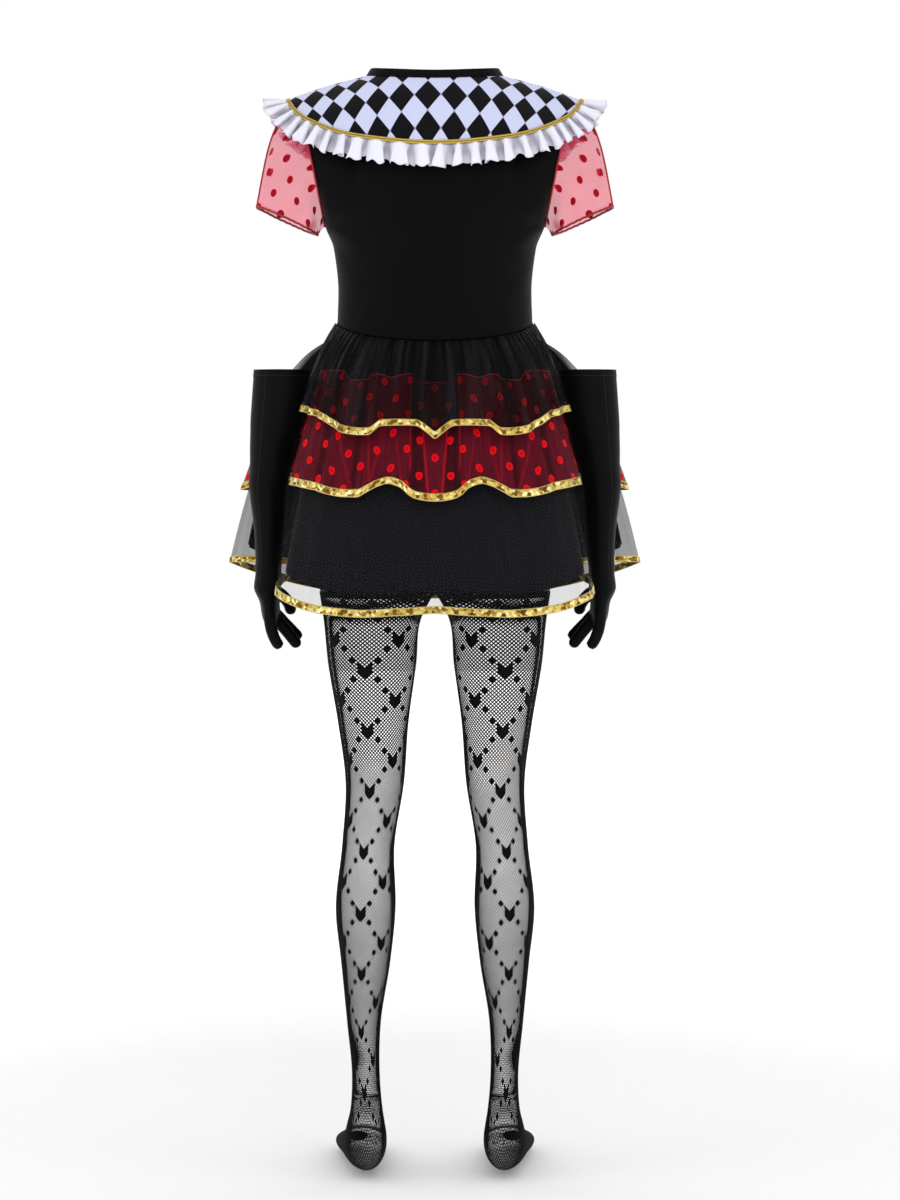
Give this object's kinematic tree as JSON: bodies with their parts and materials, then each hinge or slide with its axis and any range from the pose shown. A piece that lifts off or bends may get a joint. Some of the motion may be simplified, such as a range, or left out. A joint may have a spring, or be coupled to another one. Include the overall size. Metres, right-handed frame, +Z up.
{
  "type": "queen costume",
  "caption": "Worn queen costume held open as on a body: dress with a cape collar, short sleeves and a tiered skirt, long gloves and patterned net tights.",
  "frame": {"origin": "centre of the neck opening at the level of the collar's seam, 1.5 m above the soles", "axes": "+Z up, +Y the way the wearer faces (the pictured back faces -Y), +X the wearer's right"},
  "size_m": [0.5648, 0.4027, 1.514],
  "materials": {
    "black_satin": "matt stretch satin",
    "red_satin": "matt stretch satin",
    "harlequin_satin": "satin, black and lilac-white diamonds",
    "white_satin": "satin",
    "gold_ribbon": "crinkled metallic ribbon and cord",
    "red_spot_net": "sheer net with flocked spots",
    "black_organza": "sheer organza",
    "red_spot_organza": "sheer organza over black with flocked spots",
    "black_tulle": "sheer tulle",
    "black_lining_satin": "opaque satin",
    "black_stretch": "matt stretch jersey",
    "black_net": "open diamond net with hearts"
  },
  "bodies": {
    "root": {"bodice_back": "black_satin", "bodice_front": "red_satin", "collar": "harlequin_satin", "collar_braid": "gold_ribbon", "collar_ruffle": "white_satin", "glove_left": "black_stretch", "glove_right": "black_stretch", "neck_binding": "black_satin", "sleeve_left": "red_spot_net", "sleeve_right": "red_spot_net", "tier1_back": "black_organza", "tier1_front": "black_organza", "tier1_ribbon_back": "gold_ribbon", "tier1_ribbon_front": "gold_ribbon", "tier2_back": "red_spot_organza", "tier2_front": "red_spot_organza", "tier2_ribbon_back": "gold_ribbon", "tier2_ribbon_front": "gold_ribbon", "tights_brief_left": "black_net", "tights_brief_right": "black_net", "tights_leg_left": "black_net", "tights_leg_right": "black_net", "tights_waistband": "black_stretch", "tulle_back": "black_tulle", "tulle_front": "black_tulle", "tulle_ribbon_back": "gold_ribbon", "tulle_ribbon_front": "gold_ribbon", "underskirt_back": "black_lining_satin", "underskirt_front": "black_lining_satin"}
  },
  "joints": []
}
